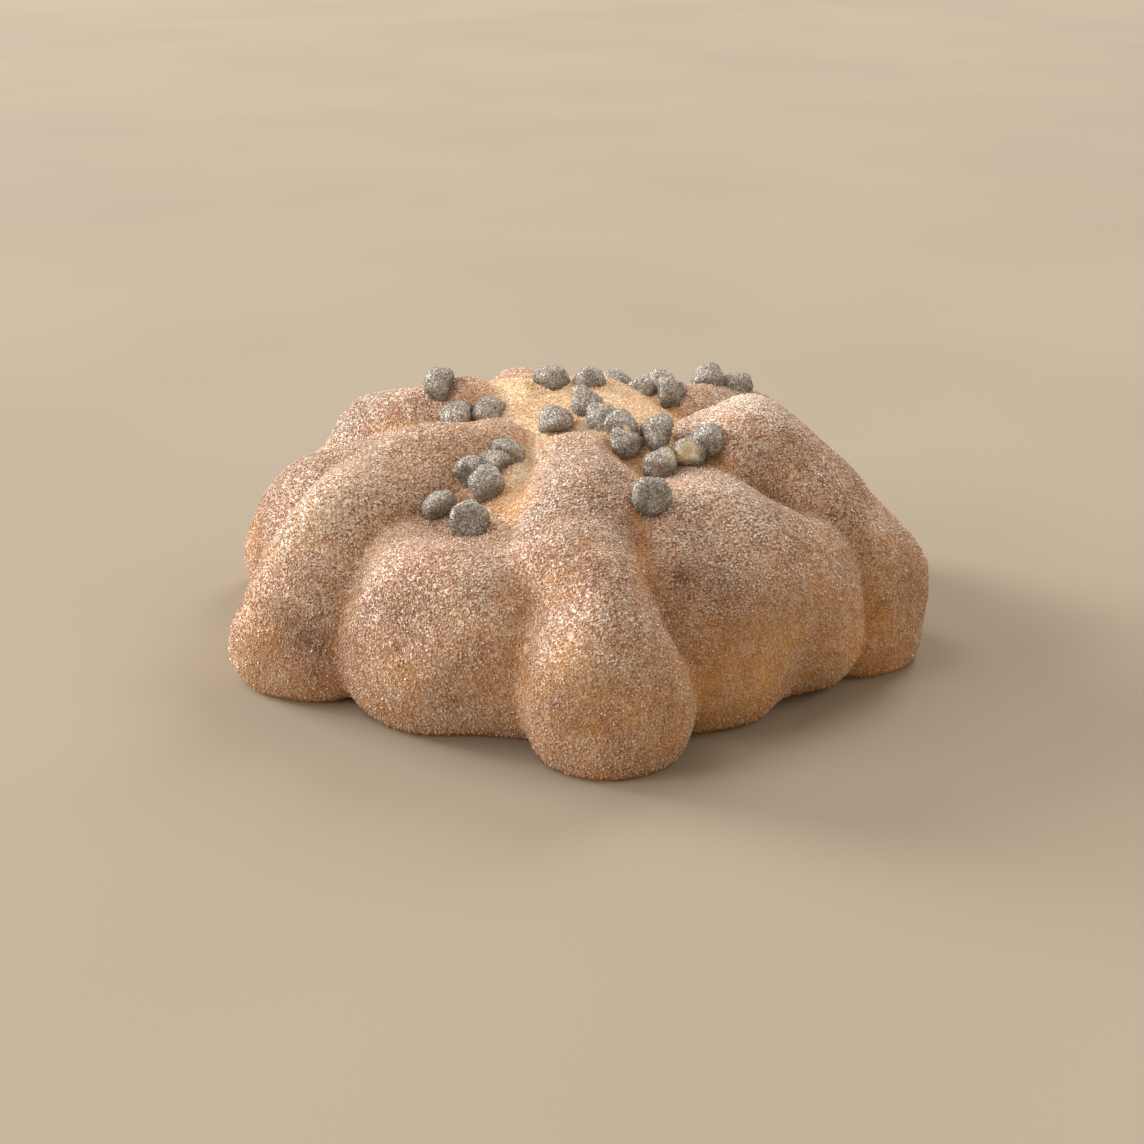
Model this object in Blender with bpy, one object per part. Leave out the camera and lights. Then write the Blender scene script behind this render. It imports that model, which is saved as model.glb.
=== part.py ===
"""Pan de muerto with chocolate chips: one loaf, baked in one piece.

A low ball of sweet dough carries six dough bones that run from the crown down to the foot of the loaf.
The ball swells between the bones, and chocolate chips lie in the hollows around the crown.
Lengths are in metres, +Z is up, the front bone points along -Y, and the origin is the middle of the
flat underside. Azimuths are in degrees from -Y towards +X.
"""

import math
from typing import NamedTuple

import bmesh
import bpy
import numpy as np
from mathutils import Matrix, Vector

# The dough ball, a rounded dome on a smaller rounded foot
BALL_RADIUS = 0.0545  # at its waist, midway between two bones
BALL_WAIST = 0.0130  # height of the waist above the board
BALL_TOP = 0.0400  # height of the dough at the crown, under the bones
BALL_UNDERCUT = 0.0280  # how deep the rounded underside would reach below the waist
BALL_SQUARENESS = 2.4  # 2 is an ellipse, more gives fuller shoulders

# How the bones hold the ball in as it rises, most of all under their middle lines
PINCH_DEPTH = 0.0085
PINCH_WIDTH = 0.0088

# How softly the baked dough runs together
CREASE_BLEND = 0.0021
BONE_BEADS = 16  # stations along each bone's middle line, joined by tapered rods

# Slow unevenness of hand-shaped, risen dough
LUMP_WAVES = 14
LUMP_LENGTHS = (0.016, 0.045)
LUMP_HEIGHT = 0.00035
LUMP_SEED = 11

# How finely the dough's surface is found, on a grid whose points are inside or outside it
NET_STEP = 0.0014
NET_REACH = 0.0760  # from the middle line outwards
NET_TOP = 0.0560
NET_BOTTOM = -0.0042  # a little below the board, so that the cut at the board is clean
EVENING_ROUNDS = 3
SETTLE_STEPS = 3
SLOPE_STEP = 0.0002
SMALLEST_SLOPE = 0.25  # squared, keeps a step short where the distance hardly changes
SMALLEST_SIZE = 1e-6  # keeps the ball's own middle from dividing by nothing
BATCH = 2500  # points measured at one time
SHELL_TRIANGLES = 7900  # of the dough before it is cut flat

SEARCH_START = 0.095
SEARCH_STEPS = 70
SEARCH_CARE = 0.75  # share of the measured distance that each step down to the dough may take

CRUST_COLOUR = (0.42, 0.22, 0.12, 1.0)
CRUST_ROUGHNESS = 0.75


class Bone(NamedTuple):
    """One strip of dough: a knob near the crown, a thinner neck and a bigger knob at the foot."""

    crown_azimuth: float
    foot_azimuth: float
    start: float  # angle down from the crown at which it starts
    knob_angle: float  # of the middle of its crown knob
    neck_angle: float
    neck_span: float  # how much further it stays as thin
    crown_knob: float  # radii of the round dough, in metres
    neck: float
    foot_knob: float
    crown_lift: float  # how far the middle line lies outside the ball, or inside where negative
    neck_lift: float
    foot_lift: float


BONES = {
    "front": Bone(4, 7.5, 15, 34, 66, 0, 0.0136, 0.0094, 0.0137, -0.0086, -0.0036, -0.0020),
    "right": Bone(76, 76, 29, 34, 66, 0, 0.0118, 0.0095, 0.0125, -0.0014, -0.0025, 0.0004),
    "back_right": Bone(124, 128, 24, 34, 64, 0, 0.0105, 0.0085, 0.0125, -0.0055, -0.0030, -0.0015),
    "back": Bone(194, 186, 10, 34, 68, 0, 0.0105, 0.0082, 0.0130, -0.0083, -0.0028, -0.0020),
    "back_left": Bone(-114, -108, 18, 34, 58, 20, 0.0094, 0.0084, 0.0116, -0.0043, -0.0080, 0.0013),
    "left": Bone(-61, -58, 14, 31, 66, 0, 0.0110, 0.0102, 0.0125, -0.0061, -0.0062, -0.0030),
}
CROWN_END_TAPER = 0.8  # the crown end's radius as a share of the crown knob's


class Swell(NamedTuple):
    """A place where the dough between two bones has risen more, or sunk where its rise is negative."""

    azimuth: float
    out: float  # distance from the loaf's middle line
    height: float
    width: float
    rise: float


SWELLS = (
    Swell(42, 0.0450, 0.0280, 0.0180, 0.0055),
    Swell(57, 0.0560, 0.0070, 0.0110, 0.0030),
    Swell(58, 0.0540, 0.0180, 0.0090, 0.0025),
    Swell(60, 0.0420, 0.0310, 0.0100, -0.0040),
    Swell(28, 0.0250, 0.0370, 0.0080, -0.0030),
    Swell(-36, 0.0350, 0.0340, 0.0090, -0.0065),
    Swell(-48, 0.0530, 0.0250, 0.0110, -0.0050),
    Swell(-22, 0.0520, 0.0180, 0.0150, 0.0020),
    Swell(-88, 0.0260, 0.0360, 0.0100, 0.0012),
    Swell(-140, 0.0180, 0.0400, 0.0100, 0.0035),
    Swell(165, 0.0290, 0.0370, 0.0090, -0.0020),
    Swell(100, 0.0300, 0.0370, 0.0080, -0.0025),
    Swell(150, 0.0120, 0.0400, 0.0180, 0.0038),
    Swell(-80, 0.0500, 0.0270, 0.0110, 0.0040),
    Swell(-15, 0.0420, 0.0330, 0.0060, -0.0020),
)

# Angle down from the crown of each bone's foot knob, as seen from the waist's middle
FOOT_KNOB_ANGLE = 99


class Chip(NamedTuple):
    """One chocolate chip, a flat-bottomed drop lying on the dough."""

    azimuth: float
    out: float  # distance from the loaf's middle line
    lean: float  # 0 stands on its base, 90 lies on its side
    heading: float  # azimuth that the tip leans towards
    rest: float  # how far its middle stands above the dough


CHIPS = (
    # Between the left bone and the front bone
    Chip(-36, 0.0184, 40, -30, 0.0014),
    Chip(-34, 0.0226, 60, -120, 0.0012),
    Chip(-38, 0.0260, 75, 150, 0.0014),
    Chip(-27, 0.0281, 50, 60, 0.0014),
    Chip(-40, 0.0335, 60, -150, 0.0018),
    Chip(-25, 0.0372, 108, 180, 0.0016),
    # Between the front bone and the right bone
    Chip(21, 0.0388, 108, 190, 0.0016),
    Chip(38, 0.0257, 80, -70, 0.0014),
    Chip(50, 0.0280, 85, 165, 0.0016),
    Chip(57, 0.0296, 10, 0, 0.0014),
    # Over the middle, behind the front bone's crown knob
    Chip(-15, 0.0074, 30, 200, 0.0014),
    Chip(76, 0.0039, 85, 90, 0.0008),
    Chip(40, 0.0098, 40, -90, 0.0006),
    Chip(41, 0.0156, 80, 140, 0.0012),
    Chip(36, 0.0182, 80, 80, 0.0008),
    Chip(50, 0.0203, 75, -100, 0.0012),
    # Between the left bone and the back bone
    Chip(-97, 0.0204, 75, -90, 0.0008),
    Chip(-100, 0.0137, 30, 90, 0.0010),
    Chip(-150, 0.0430, 60, 10, 0.0010),
    Chip(-107, 0.0248, 80, -90, 0.0010),
    Chip(-134, 0.0375, 85, -60, 0.0012),
    Chip(-125, 0.0375, 25, 120, 0.0008),
    # Behind the middle
    Chip(-167, 0.0106, 60, 120, 0.0006),
    Chip(157, 0.0096, 30, -60, 0.0006),
    Chip(134, 0.0200, 15, 40, 0.0010),
    Chip(131, 0.0240, 35, 150, 0.0008),
    Chip(117, 0.0220, 85, 95, 0.0008),
    Chip(172, 0.0270, 75, 30, 0.0012),
    Chip(163, 0.0315, 30, -20, 0.0014),
    Chip(150, 0.0350, 60, 170, 0.0008),
    # Between the right bone and the back right bone
    Chip(130, 0.0361, 20, 90, 0.0014),
    Chip(126, 0.0405, 25, 0, 0.0006),
    Chip(102, 0.0290, 70, 100, 0.0014),
    Chip(97, 0.0340, 80, 20, 0.0012),
)
CHIP_SEGMENTS = 10
CHIP_PROFILE = ((0.0031, -0.0022), (0.0033, -0.0012), (0.0025, 0.0010))  # radius and height of each ring
CHIP_BASE = -0.0024
CHIP_TIP = 0.0027


def direction_of(azimuth):
    """Level unit vector at an azimuth in degrees."""
    angle = math.radians(azimuth)
    return np.array([math.sin(angle), -math.cos(angle), 0.0])


def dome_point(angle, azimuth, lift):
    """Point at an angle down from the crown on the ball, moved outwards by lift."""
    turn = math.radians(angle)
    power = 2 / BALL_SQUARENESS
    side = 1 if angle < 90 else -1
    reach = BALL_TOP - BALL_WAIST if angle < 90 else BALL_UNDERCUT
    out = math.sin(turn) ** power
    up = abs(math.cos(turn)) ** power
    level = direction_of(azimuth)
    point = level * BALL_RADIUS * out + np.array([0.0, 0.0, BALL_WAIST + side * reach * up])
    normal = level * out ** (BALL_SQUARENESS - 1) / BALL_RADIUS
    normal = normal + np.array([0.0, 0.0, side * up ** (BALL_SQUARENESS - 1) / reach])
    return point + normal / np.linalg.norm(normal) * lift


def eased(position, stations, values):
    """Values at the stations, joined by smooth steps."""
    for index in range(len(stations) - 1):
        start, end = stations[index], stations[index + 1]
        if position <= end:
            share = max(0.0, (position - start) / (end - start))
            share = share * share * (3 - 2 * share)
            return values[index] * (1 - share) + values[index + 1] * share
    return values[-1]


def bone_rods(bone):
    """The start, the run and the two radii of each tapered rod along one bone."""
    neck_end = bone.neck_angle + bone.neck_span
    stations = (bone.start, bone.knob_angle, bone.neck_angle, neck_end, FOOT_KNOB_ANGLE)
    radii = (bone.crown_knob * CROWN_END_TAPER, bone.crown_knob, bone.neck, bone.neck, bone.foot_knob)
    lifts = (bone.crown_lift, bone.crown_lift, bone.neck_lift, bone.neck_lift, bone.foot_lift)
    beads = []
    for angle in np.linspace(bone.start, FOOT_KNOB_ANGLE, BONE_BEADS):
        azimuth = eased(angle, (bone.knob_angle, FOOT_KNOB_ANGLE), (bone.crown_azimuth, bone.foot_azimuth))
        middle = dome_point(angle, azimuth, eased(angle, stations, lifts))
        beads.append((*middle, eased(angle, stations, radii)))
    beads = np.array(beads)
    return np.concatenate([beads[:-1], beads[1:] - beads[:-1]], axis=1)


def smooth_union(first, second, blend):
    """The nearer of two distances, with the corner between them filled."""
    overlap = np.maximum(blend - np.abs(first - second), 0.0) / blend
    return np.minimum(first, second) - overlap * overlap * blend / 4


def lumps(points):
    """Slow waves that make the dough uneven, the same on each run."""
    draw = np.random.default_rng(LUMP_SEED)
    height = np.zeros(len(points))
    for _ in range(LUMP_WAVES):
        heading = draw.normal(size=3)
        heading /= np.linalg.norm(heading)
        length = draw.uniform(*LUMP_LENGTHS)
        phase = draw.uniform(0, 2 * math.pi)
        height += np.sin(points @ heading * 2 * math.pi / length + phase)
    return height * LUMP_HEIGHT


def ball_distance(points):
    """Distance outside the plain dough ball, measured along the line from the waist's middle."""
    level = np.hypot(points[:, 0], points[:, 1]) / BALL_RADIUS
    rise = points[:, 2] - BALL_WAIST
    reach = np.where(rise > 0, BALL_TOP - BALL_WAIST, BALL_UNDERCUT)
    power = BALL_SQUARENESS
    size = (level**power + np.abs(rise / reach) ** power) ** (1 / power)
    return np.linalg.norm(points - [0, 0, BALL_WAIST], axis=1) * (1 - 1 / np.maximum(size, SMALLEST_SIZE))


def swelling(points):
    """How much further out the ball's surface lies here."""
    rise = np.zeros(len(points))
    for swell in SWELLS:
        middle = direction_of(swell.azimuth) * swell.out + [0, 0, swell.height]
        away = np.linalg.norm(points - middle, axis=1) / swell.width
        rise += swell.rise * np.exp(-(away**2))
    return rise


def dough_distance(points, rods):
    """Roughly how far a batch of points lies outside the whole loaf, in metres."""
    starts, radii, runs, tapers = rods[:, :3], rods[:, 3], rods[:, 4:7], rods[:, 7]
    squares = (runs**2).sum(axis=1)
    ahead = points @ runs.T - (starts * runs).sum(axis=1)
    far = (points**2).sum(axis=1)[:, None] - 2 * (points @ starts.T) + (starts**2).sum(axis=1)
    aside = np.sqrt(np.maximum(far - ahead**2 / squares, 0))
    along = ahead / squares + aside * tapers / np.sqrt(squares * (squares - tapers**2))
    along = np.clip(along, 0, 1)
    to_line = np.sqrt(np.maximum(far - along * (2 * ahead - along * squares), 0))
    by_bone = (to_line - radii - along * tapers).reshape(len(points), len(BONES), -1).min(axis=2)
    bones = by_bone[:, 0]
    for other in by_bone.T[1:]:
        bones = smooth_union(bones, other, CREASE_BLEND)
    pinch = PINCH_DEPTH * np.exp(-((to_line.min(axis=1) / PINCH_WIDTH) ** 2))
    ball = ball_distance(points) + pinch - swelling(points)
    return smooth_union(ball, bones, CREASE_BLEND) - lumps(points)


def dough_distances(points, rods):
    """The same for any number of points."""
    batches = [dough_distance(points[at : at + BATCH], rods) for at in range(0, len(points), BATCH)]
    return np.concatenate(batches)


def settled(points, rods):
    """The points moved straight out or in until they lie on the dough's surface."""
    for _ in range(SETTLE_STEPS):
        slope = np.empty_like(points)
        for axis in range(3):
            shift = np.zeros(3)
            shift[axis] = SLOPE_STEP
            ahead = dough_distances(points + shift, rods)
            slope[:, axis] = (ahead - dough_distances(points - shift, rods)) / (2 * SLOPE_STEP)
        size = np.maximum((slope**2).sum(axis=1), SMALLEST_SLOPE)
        move = dough_distances(points, rods) / size
        move = np.clip(move, -NET_STEP / 2, NET_STEP / 2)
        points = points - slope * move[:, None]
    return points


def evened(points, faces):
    """Each point moved to the mean of the middles of its faces."""
    middles = points[faces].mean(axis=1)
    total = np.zeros_like(points)
    count = np.zeros((len(points), 1))
    for corner in range(4):
        np.add.at(total, faces[:, corner], middles)
        np.add.at(count, faces[:, corner], 1)
    return total / count


def faces_across(inside, cell_numbers, axis):
    """One face, of four cells, around each grid line along an axis that crosses the surface."""
    order = (axis, (axis + 1) % 3, (axis + 2) % 3)
    inside = inside.transpose(order)
    numbers = cell_numbers.transpose(order)
    lower_inside = inside[:-1, 1:-1, 1:-1]
    crossing = lower_inside != inside[1:, 1:-1, 1:-1]
    a, b, c = np.nonzero(crossing)
    corners = (numbers[a, b, c], numbers[a, b + 1, c], numbers[a, b + 1, c + 1], numbers[a, b, c + 1])
    faces = np.stack(corners, axis=1)
    inwards = ~lower_inside[crossing]
    faces[inwards] = faces[inwards][:, ::-1]
    return faces


def dough_net(rods):
    """Vertices and four-sided faces of the dough's surface: one vertex in each grid cell that it crosses."""
    across = np.arange(-NET_REACH, NET_REACH, NET_STEP)
    up = np.arange(NET_BOTTOM, NET_TOP, NET_STEP)
    grid = np.stack(np.meshgrid(across, across, up, indexing="ij"), axis=-1)
    inside = dough_distances(grid.reshape(-1, 3), rods).reshape(grid.shape[:3]) < 0
    halves = (slice(None, -1), slice(1, None))
    filled = sum(inside[i, j, k].astype(int) for i in halves for j in halves for k in halves)
    crossed = (filled > 0) & (filled < 8)
    cell_numbers = np.full(crossed.shape, -1)
    cell_numbers[crossed] = np.arange(crossed.sum())
    faces = np.concatenate([faces_across(inside, cell_numbers, axis) for axis in range(3)])
    points = grid[:-1, :-1, :-1][crossed] + NET_STEP / 2
    for _ in range(EVENING_ROUNDS):
        points = settled(evened(points, faces), rods)
    return points, faces


def top_of_dough(x, y, rods):
    """Height at which the dough is met from above."""
    height = SEARCH_START
    for _ in range(SEARCH_STEPS):
        height -= SEARCH_CARE * float(dough_distance(np.array([[x, y, height]]), rods)[0])
    return height


def remove_everything():
    for old in list(bpy.data.objects):
        bpy.data.objects.remove(old)


def applied(made):
    """Puts the object's evaluated mesh in place of its own, and drops its modifiers."""
    evaluated = made.evaluated_get(bpy.context.evaluated_depsgraph_get())
    mesh = bpy.data.meshes.new_from_object(evaluated)
    made.modifiers.clear()
    made.data = mesh
    mesh.name = made.name


def make_dough(rods):
    """The dough without its chips, closed by a flat face where it lies on the board."""
    points, faces = dough_net(rods)
    mesh = bpy.data.meshes.new("loaf")
    mesh.from_pydata(points.tolist(), [], faces.tolist())
    loaf = bpy.data.objects.new("loaf", mesh)
    bpy.context.scene.collection.objects.link(loaf)
    fewer = loaf.modifiers.new("fewer triangles", "DECIMATE")
    fewer.ratio = SHELL_TRIANGLES / (2 * len(faces))
    applied(loaf)
    shell = bmesh.new()
    shell.from_mesh(loaf.data)
    everything = shell.verts[:] + shell.edges[:] + shell.faces[:]
    bmesh.ops.bisect_plane(shell, geom=everything, plane_co=(0, 0, 0), plane_no=(0, 0, 1), clear_inner=True)
    rim = [edge for edge in shell.edges if edge.is_boundary]
    bmesh.ops.contextual_create(shell, geom=rim)
    bmesh.ops.recalc_face_normals(shell, faces=shell.faces)
    shell.to_mesh(loaf.data)
    shell.free()
    return loaf


def make_chip(name, chip, collection, rods):
    """A drop lathed about its own axis, then leant over and set down on the dough."""
    drop = bmesh.new()
    rings = []
    for radius, height in CHIP_PROFILE:
        turns = [2 * math.pi * index / CHIP_SEGMENTS for index in range(CHIP_SEGMENTS)]
        rings.append([drop.verts.new((radius * math.cos(t), radius * math.sin(t), height)) for t in turns])
    base = drop.verts.new((0, 0, CHIP_BASE))
    tip = drop.verts.new((0, 0, CHIP_TIP))
    for index in range(CHIP_SEGMENTS):
        after = (index + 1) % CHIP_SEGMENTS
        drop.faces.new((base, rings[0][after], rings[0][index]))
        drop.faces.new((tip, rings[-1][index], rings[-1][after]))
        for lower, upper in zip(rings, rings[1:]):
            drop.faces.new((lower[index], lower[after], upper[after], upper[index]))
    x, y, _ = direction_of(chip.azimuth) * chip.out
    place = Matrix.Translation((x, y, top_of_dough(x, y, rods) + chip.rest))
    side = Vector(direction_of(chip.heading + 90))
    drop.transform(place @ Matrix.Rotation(math.radians(chip.lean), 4, side))
    mesh = bpy.data.meshes.new(name)
    drop.to_mesh(mesh)
    drop.free()
    made = bpy.data.objects.new(name, mesh)
    collection.objects.link(made)
    return made


def fuse_chips(loaf, rods):
    """Makes the dough and all its chips one solid."""
    collection = bpy.data.collections.new("chips")
    bpy.context.scene.collection.children.link(collection)
    chips = [make_chip(f"chip_{index:02d}", chip, collection, rods) for index, chip in enumerate(CHIPS)]
    fuse = loaf.modifiers.new("fuse chips", "BOOLEAN")
    fuse.operation = "UNION"
    fuse.operand_type = "COLLECTION"
    fuse.collection = collection
    fuse.solver = "MANIFOLD"
    applied(loaf)
    for chip in chips:
        bpy.data.objects.remove(chip)
    bpy.data.collections.remove(collection)


def keep_outer_shell(loaf):
    """Fills any hollow that fusing closed off, and drops loose scrap."""
    builder = bmesh.new()
    builder.from_mesh(loaf.data)
    left = set(builder.verts)
    shells = []
    while left:
        found = {left.pop()}
        to_follow = list(found)
        while to_follow:
            vertex = to_follow.pop()
            for edge in vertex.link_edges:
                other = edge.other_vert(vertex)
                if other not in found:
                    found.add(other)
                    to_follow.append(other)
        left -= found
        shells.append(found)
    largest = max(shells, key=len)
    extra = [vertex for vertex in builder.verts if vertex not in largest]
    bmesh.ops.delete(builder, geom=extra, context="VERTS")
    builder.to_mesh(loaf.data)
    builder.free()


def centre_over_origin(loaf):
    """Moves the mesh so that the middle of its flat underside's box is the origin."""
    corners = np.array([vertex.co for vertex in loaf.data.vertices])
    middle = (corners.min(axis=0) + corners.max(axis=0)) / 2
    loaf.data.transform(Matrix.Translation((-middle[0], -middle[1], 0)))


def paint(loaf):
    material = bpy.data.materials.new("baked crust")
    material.use_nodes = True
    shader = material.node_tree.nodes["Principled BSDF"]
    shader.inputs["Base Color"].default_value = CRUST_COLOUR
    shader.inputs["Roughness"].default_value = CRUST_ROUGHNESS
    loaf.data.materials.clear()
    loaf.data.materials.append(material)
    loaf.data.shade_smooth()


def main():
    remove_everything()
    rods = np.concatenate([bone_rods(bone) for bone in BONES.values()])
    loaf = make_dough(rods)
    fuse_chips(loaf, rods)
    keep_outer_shell(loaf)
    centre_over_origin(loaf)
    paint(loaf)


main()
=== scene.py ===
"""Pan de muerto with chocolate chips, finished for a picture: crust, chips, sugar and stage.

Lengths are in metres and +Z is up, as in the frame. Azimuths are in degrees from -Y towards +X. The
dough is a low ball that carries six bones, from the crown down to the foot of the loaf.
"""

import math
from typing import NamedTuple

import bmesh
import bpy
import numpy as np
from bpy.props import FloatProperty, FloatVectorProperty, PointerProperty
from mathutils import Matrix, Vector


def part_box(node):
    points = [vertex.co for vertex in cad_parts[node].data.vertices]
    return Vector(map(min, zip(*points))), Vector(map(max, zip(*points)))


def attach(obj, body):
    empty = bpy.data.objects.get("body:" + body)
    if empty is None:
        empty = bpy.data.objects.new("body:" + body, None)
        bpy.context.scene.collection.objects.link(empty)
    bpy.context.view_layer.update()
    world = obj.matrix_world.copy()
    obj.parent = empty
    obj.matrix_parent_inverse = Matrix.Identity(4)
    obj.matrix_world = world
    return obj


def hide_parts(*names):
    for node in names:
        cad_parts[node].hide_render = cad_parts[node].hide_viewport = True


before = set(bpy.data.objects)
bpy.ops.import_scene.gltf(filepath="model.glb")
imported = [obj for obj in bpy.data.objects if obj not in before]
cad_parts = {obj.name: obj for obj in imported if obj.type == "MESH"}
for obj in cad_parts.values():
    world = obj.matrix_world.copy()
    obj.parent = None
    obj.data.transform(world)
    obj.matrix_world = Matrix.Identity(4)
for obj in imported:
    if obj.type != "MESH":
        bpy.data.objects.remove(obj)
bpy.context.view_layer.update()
LOAF_LOW, LOAF_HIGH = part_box("loaf")

bl_info = {
    "name": "Pan de Muerto with Chocolate Chips",
    "version": (1, 0, 0),
    "blender": (4, 5, 0),
    "location": "View3D > Sidebar > Loaf",
    "description": "Bakes the crust, sets the chips, strews the sugar and lights the loaf",
    "category": "Object",
}

# The dough ball, a rounded dome on a smaller rounded foot
BALL_RADIUS = 0.0545
BALL_WAIST = 0.0130
BALL_TOP = 0.0400
BALL_UNDERCUT = 0.0280
BALL_SQUARENESS = 2.4

# How the bones hold the ball in as it rises, and how softly the dough runs together
PINCH_DEPTH = 0.0085
PINCH_WIDTH = 0.0088
CREASE_BLEND = 0.0021
BONE_BEADS = 16
CROWN_END_TAPER = 0.8

# Angle down from the crown of each bone's foot knob, as seen from the waist's middle
FOOT_KNOB_ANGLE = 99

# Slow unevenness of hand-shaped, risen dough
LUMP_WAVES = 14
LUMP_LENGTHS = (0.016, 0.045)
LUMP_HEIGHT = 0.00035
LUMP_SEED = 11

# How finely the dough's surface is found
NET_REACH = 0.0760
NET_TOP = 0.0560
NET_BOTTOM = -0.0042
EVENING_ROUNDS = 3
SETTLE_STEPS = 3
SLOPE_STEP = 0.0002
SMALLEST_SLOPE = 0.25
SMALLEST_SIZE = 1e-6
BATCH = 2500


class Bone(NamedTuple):
    """One strip of dough: a knob near the crown, a thinner neck and a bigger knob at the foot."""

    crown_azimuth: float
    foot_azimuth: float
    start: float  # angle down from the crown at which it starts
    knob_angle: float  # of the middle of its crown knob
    neck_angle: float
    neck_span: float  # how much further it stays as thin
    crown_knob: float  # radii of the round dough
    neck: float
    foot_knob: float
    crown_lift: float  # how far the middle line lies outside the ball, or inside where negative
    neck_lift: float
    foot_lift: float


BONES = {
    "front": Bone(4, 7.5, 15, 34, 66, 0, 0.0136, 0.0094, 0.0137, -0.0086, -0.0036, -0.002),
    "right": Bone(76, 76, 29, 34, 66, 0, 0.0118, 0.0095, 0.0125, -0.0014, -0.0025, 0.0004),
    "back_right": Bone(124, 128, 24, 34, 64, 0, 0.0105, 0.0085, 0.0125, -0.0055, -0.003, -0.0015),
    "back": Bone(194, 186, 10, 34, 68, 0, 0.0105, 0.0082, 0.013, -0.0083, -0.0028, -0.002),
    "back_left": Bone(-114, -108, 18, 34, 58, 20, 0.0094, 0.0084, 0.0116, -0.0043, -0.008, 0.0013),
    "left": Bone(-61, -58, 14, 31, 66, 0, 0.011, 0.0102, 0.0125, -0.0061, -0.0062, -0.003),
}


class Patch(NamedTuple):
    """A soft-edged place on the dough, and how much is added to one of its qualities there."""

    azimuth: float
    out: float  # distance from the loaf's middle line
    height: float
    width: float
    amount: float


# Where the dough has risen more, or sunk where negative
SWELLS = (
    Patch(42, 0.045, 0.028, 0.018, 0.0055),
    Patch(57, 0.056, 0.007, 0.011, 0.003),
    Patch(58, 0.054, 0.018, 0.009, 0.0025),
    Patch(60, 0.042, 0.031, 0.01, -0.004),
    Patch(28, 0.025, 0.037, 0.008, -0.003),
    Patch(-36, 0.035, 0.034, 0.009, -0.0065),
    Patch(-48, 0.053, 0.025, 0.011, -0.005),
    Patch(-22, 0.052, 0.018, 0.015, 0.002),
    Patch(-88, 0.026, 0.036, 0.01, 0.0012),
    Patch(-140, 0.018, 0.04, 0.01, 0.0035),
    Patch(165, 0.029, 0.037, 0.009, -0.002),
    Patch(100, 0.03, 0.037, 0.008, -0.0025),
    Patch(150, 0.012, 0.04, 0.018, 0.0038),
    Patch(-80, 0.05, 0.027, 0.011, 0.004),
    Patch(-15, 0.042, 0.033, 0.006, -0.002),
)


class Chip(NamedTuple):
    """One chocolate chip, a flat-bottomed drop lying on the dough."""

    azimuth: float
    out: float  # distance from the loaf's middle line
    lean: float  # 0 stands on its base, 90 lies on its side
    heading: float  # azimuth that the tip leans towards
    rest: float  # how far its middle stands above the dough


CHIPS = (
    # Between the left bone and the front bone
    Chip(-36, 0.0184, 40, -30, 0.0014),
    Chip(-34, 0.0226, 60, -120, 0.0012),
    Chip(-38, 0.026, 75, 150, 0.0014),
    Chip(-27, 0.0281, 50, 60, 0.0014),
    Chip(-40, 0.0335, 60, -150, 0.0018),
    Chip(-25, 0.0372, 108, 180, 0.0016),
    # Between the front bone and the right bone
    Chip(21, 0.0388, 108, 190, 0.0016),
    Chip(38, 0.0257, 80, -70, 0.0014),
    Chip(50, 0.028, 85, 165, 0.0016),
    Chip(57, 0.0296, 10, 0, 0.0014),
    # Over the middle, behind the front bone's crown knob
    Chip(-15, 0.0074, 30, 200, 0.0014),
    Chip(76, 0.0039, 85, 90, 0.0008),
    Chip(40, 0.0098, 40, -90, 0.0006),
    Chip(41, 0.0156, 80, 140, 0.0012),
    Chip(36, 0.0182, 80, 80, 0.0008),
    Chip(50, 0.0203, 75, -100, 0.0012),
    # Between the left bone and the back bone
    Chip(-97, 0.0204, 75, -90, 0.0008),
    Chip(-100, 0.0137, 30, 90, 0.001),
    Chip(-150, 0.043, 60, 10, 0.001),
    Chip(-107, 0.0248, 80, -90, 0.001),
    Chip(-134, 0.0375, 85, -60, 0.0012),
    Chip(-125, 0.0375, 25, 120, 0.0008),
    # Behind the middle
    Chip(-167, 0.0106, 60, 120, 0.0006),
    Chip(157, 0.0096, 30, -60, 0.0006),
    Chip(134, 0.02, 15, 40, 0.001),
    Chip(131, 0.024, 35, 150, 0.0008),
    Chip(117, 0.022, 85, 95, 0.0008),
    Chip(172, 0.027, 75, 30, 0.0012),
    Chip(163, 0.0315, 30, -20, 0.0014),
    Chip(150, 0.035, 60, 170, 0.0008),
    # Between the right bone and the back right bone
    Chip(130, 0.0361, 20, 90, 0.0014),
    Chip(126, 0.0405, 25, 0, 0.0006),
    Chip(102, 0.029, 70, 100, 0.0014),
    Chip(97, 0.034, 80, 20, 0.0012),
)
# Radius and height of each ring of a chip, from its flat base to near its tip
CHIP_PROFILE = (
    (0.0016, -0.00242),
    (0.0026, -0.00234),
    (0.0031, -0.00205),
    (0.0033, -0.00130),
    (0.0032, -0.00050),
    (0.0029, 0.00028),
    (0.0025, 0.00102),
    (0.0017, 0.00188),
    (0.0008, 0.00246),
)
CHIP_BASE = -0.0024
CHIP_TIP = 0.0027
CHIP_SEGMENTS = 20
CHIP_SIZES = (0.90, 1.06)
CHIP_DENT_WAVES = 7
CHIP_DENT_LENGTHS = (0.0022, 0.0050)
CHIP_DENT_DEPTH = 0.00011
CHIP_SEED = 23
MOST_DENT_SEED = 100000
SEARCH_START = 0.095
SEARCH_STEPS = 70
SEARCH_CARE = 0.75


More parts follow.
